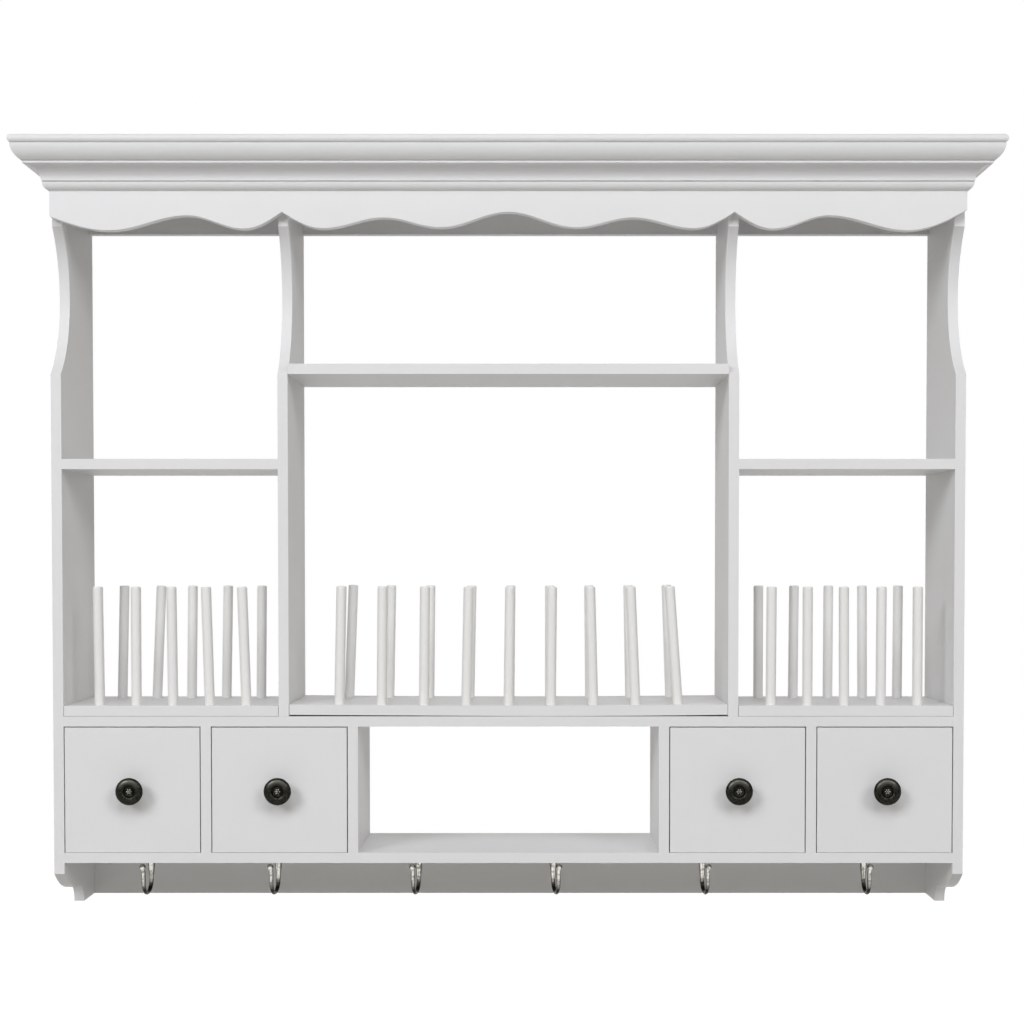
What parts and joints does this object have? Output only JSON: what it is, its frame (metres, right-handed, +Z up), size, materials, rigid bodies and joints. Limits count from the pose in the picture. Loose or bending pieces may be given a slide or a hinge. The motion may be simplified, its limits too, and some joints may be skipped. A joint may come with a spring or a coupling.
{
  "type": "kitchen wall cabinet",
  "caption": "Open wall cabinet with moulded cornice, scalloped valance, shelves, dowel plate racks, small drawers, an open cubby and cup hooks underneath.",
  "frame": {"origin": "on the wall plane, midway between the outer pair of wall screw holes in the top back rail", "axes": "+X to the right as seen by someone who faces the cabinet, +Y into the wall, +Z up"},
  "size_m": [1.147, 0.1985, 0.9065],
  "materials": {
    "white_lacquer": "white satin lacquer sprayed on smooth board",
    "dowel_lacquer": "turned dowels under a thin off-white lacquer",
    "drawer_board": "thin white-faced board",
    "dark_bronze": "cast and blackened bronze, rubbed bright on its rings",
    "nickel_wire": "polished nickel plate on bent wire",
    "zinc_screw": "bright zinc plate",
    "beech_pins": "bare fluted beech, glued in"
  },
  "bodies": {
    "carcass": {"side_panel_left": "white_lacquer", "side_panel_right": "white_lacquer", "partition_left": "white_lacquer", "partition_right": "white_lacquer", "top_board": "white_lacquer", "top_back_rail": "white_lacquer", "bottom_back_rail": "white_lacquer", "bottom_board": "white_lacquer", "deck_board": "white_lacquer", "shelf_left": "white_lacquer", "shelf_right": "white_lacquer", "shelf_centre": "white_lacquer", "valance_board": "white_lacquer", "cornice_front": "white_lacquer", "cornice_return_left": "white_lacquer", "cornice_return_right": "white_lacquer", "cubby_divider_left": "white_lacquer", "cubby_divider_right": "white_lacquer", "drawer_divider_left": "white_lacquer", "drawer_divider_right": "white_lacquer", "drawer_bay_back_left": "drawer_board", "drawer_bay_back_right": "drawer_board", "carcass_pins": "beech_pins", "hook_1": "nickel_wire", "hook_2": "nickel_wire", "hook_3": "nickel_wire", "hook_4": "nickel_wire", "hook_5": "nickel_wire", "hook_6": "nickel_wire"},
    "rack_left": {"rack_board_left": "white_lacquer", "rack_dowels_left": "dowel_lacquer"},
    "rack_centre": {"rack_board_centre": "white_lacquer", "rack_dowels_centre": "dowel_lacquer"},
    "rack_right": {"rack_board_right": "white_lacquer", "rack_dowels_right": "dowel_lacquer"},
    "drawer_1": {"drawer_1_front": "white_lacquer", "drawer_1_sides": "drawer_board", "drawer_1_back": "drawer_board", "drawer_1_bottom": "drawer_board", "drawer_1_knob": "dark_bronze", "drawer_1_knob_screw": "zinc_screw"},
    "drawer_2": {"drawer_2_front": "white_lacquer", "drawer_2_sides": "drawer_board", "drawer_2_back": "drawer_board", "drawer_2_bottom": "drawer_board", "drawer_2_knob": "dark_bronze", "drawer_2_knob_screw": "zinc_screw"},
    "drawer_3": {"drawer_3_front": "white_lacquer", "drawer_3_sides": "drawer_board", "drawer_3_back": "drawer_board", "drawer_3_bottom": "drawer_board", "drawer_3_knob": "dark_bronze", "drawer_3_knob_screw": "zinc_screw"},
    "drawer_4": {"drawer_4_front": "white_lacquer", "drawer_4_sides": "drawer_board", "drawer_4_back": "drawer_board", "drawer_4_bottom": "drawer_board", "drawer_4_knob": "dark_bronze", "drawer_4_knob_screw": "zinc_screw"}
  },
  "joints": [
    {"name": "drawer_1_slide", "type": "slide", "parent": "carcass", "child": "drawer_1", "axis": [0, -1, 0], "range_m": [0, 0.12]},
    {"name": "drawer_2_slide", "type": "slide", "parent": "carcass", "child": "drawer_2", "axis": [0, -1, 0], "range_m": [0, 0.12]},
    {"name": "drawer_3_slide", "type": "slide", "parent": "carcass", "child": "drawer_3", "axis": [0, -1, 0], "range_m": [0, 0.12]},
    {"name": "drawer_4_slide", "type": "slide", "parent": "carcass", "child": "drawer_4", "axis": [0, -1, 0], "range_m": [0, 0.12]},
    {"name": "rack_left_slide", "type": "slide", "parent": "carcass", "child": "rack_left", "axis": [0, -1, 0], "range_m": [0, 0.15]},
    {"name": "rack_centre_slide", "type": "slide", "parent": "carcass", "child": "rack_centre", "axis": [0, -1, 0], "range_m": [0, 0.15]},
    {"name": "rack_right_slide", "type": "slide", "parent": "carcass", "child": "rack_right", "axis": [0, -1, 0], "range_m": [0, 0.15]}
  ]
}
